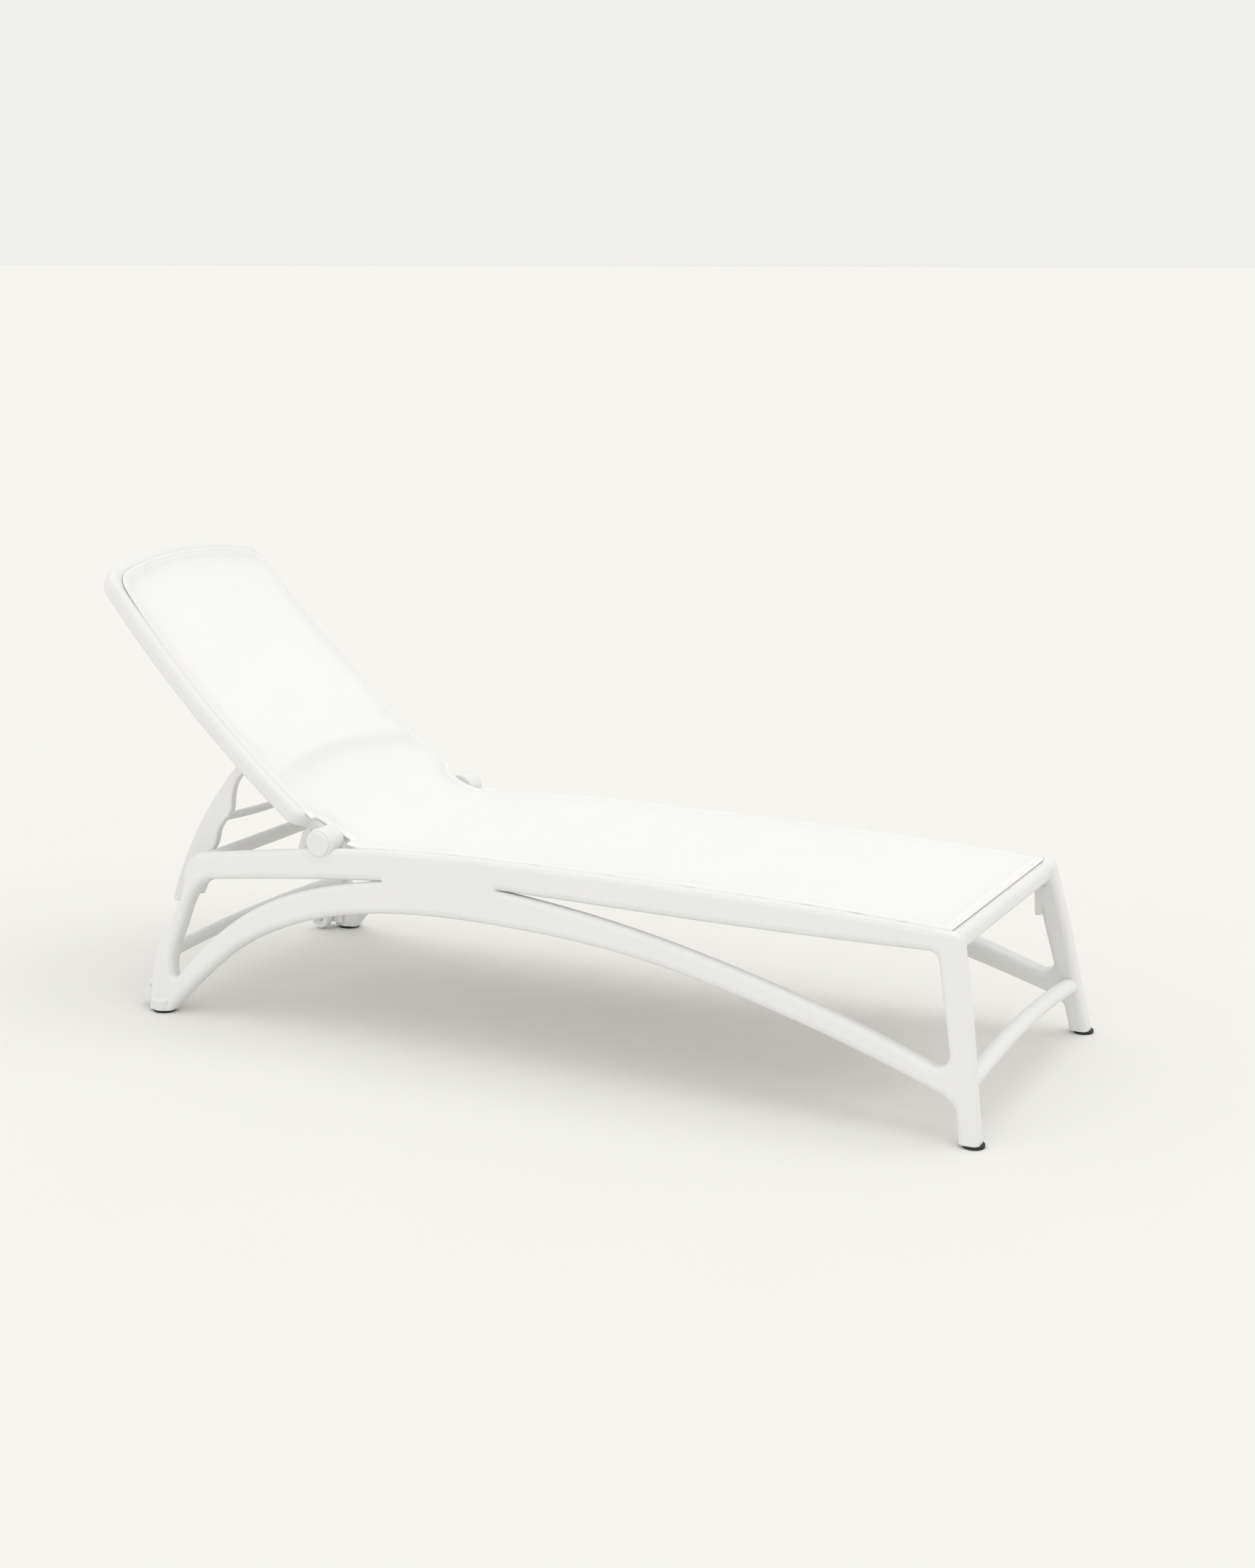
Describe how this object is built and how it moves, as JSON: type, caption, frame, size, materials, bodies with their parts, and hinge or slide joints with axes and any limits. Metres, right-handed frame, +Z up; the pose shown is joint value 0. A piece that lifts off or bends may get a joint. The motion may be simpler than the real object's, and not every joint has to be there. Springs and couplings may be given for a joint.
{
  "type": "reclining sun lounger",
  "caption": "Stackable resin sun lounger with a mesh sling, an adjustable back held by a swinging prop, arched side frames and small rear wheels.",
  "frame": {"origin": "on the floor at mid length and mid width of the lounger with its back at the rest angle", "axes": "+X towards the foot end, +Y to the sitter's left, +Z up"},
  "size_m": [1.9114, 0.7356, 0.8856],
  "materials": {
    "resin": "satin moulded resin",
    "resin_cap": "satin moulded resin",
    "strip_plastic": "satin",
    "mesh_fabric": "woven coated mesh",
    "pad_rubber": "matt",
    "pin_metal": "brushed"
  },
  "bodies": {
    "base": {"side_frame_left": "resin", "side_frame_right": "resin", "head_crossbar": "resin", "head_stretcher": "resin", "foot_stretcher": "resin", "foot_crossbar": "resin", "hinge_caps": "resin_cap", "hinge_pins": "pin_metal", "rear_foot_pads": "pad_rubber", "front_foot_pads": "pad_rubber", "seat_sling": "mesh_fabric", "foot_edge_strip": "strip_plastic", "seat_edge_strip_left": "strip_plastic", "seat_edge_strip_right": "strip_plastic", "wheel_axles": "pin_metal"},
    "back": {"back_frame": "resin", "back_crossbar": "resin", "back_edge_strip": "strip_plastic", "back_sling": "mesh_fabric", "prop_pins": "pin_metal"},
    "prop": {"prop_arm_left": "resin", "prop_arm_right": "resin", "prop_bar": "resin"},
    "left_wheel": {"wheel_left": "resin_cap"},
    "right_wheel": {"wheel_right": "resin_cap"}
  },
  "joints": [
    {"name": "back_recline", "type": "hinge", "parent": "base", "child": "back", "pos_m": [-0.393, 0, 0.37], "axis": [0, 1, 0], "range_deg": [-38, 12]},
    {"name": "prop_swing", "type": "hinge", "parent": "back", "child": "prop", "pos_m": [-0.58209, 0, 0.512], "axis": [0, 1, 0], "range_deg": [-15.7, 49.5]},
    {"name": "left_wheel_spin", "type": "hinge", "parent": "base", "child": "left_wheel", "pos_m": [-0.784, 0, 0.0265], "axis": [0, 1, 0], "continuous": true},
    {"name": "right_wheel_spin", "type": "hinge", "parent": "base", "child": "right_wheel", "pos_m": [-0.784, 0, 0.0265], "axis": [0, 1, 0], "continuous": true}
  ],
  "couplings": [
    {"joint": "prop_swing", "follows": "back_recline", "ratio": -1.3}
  ]
}
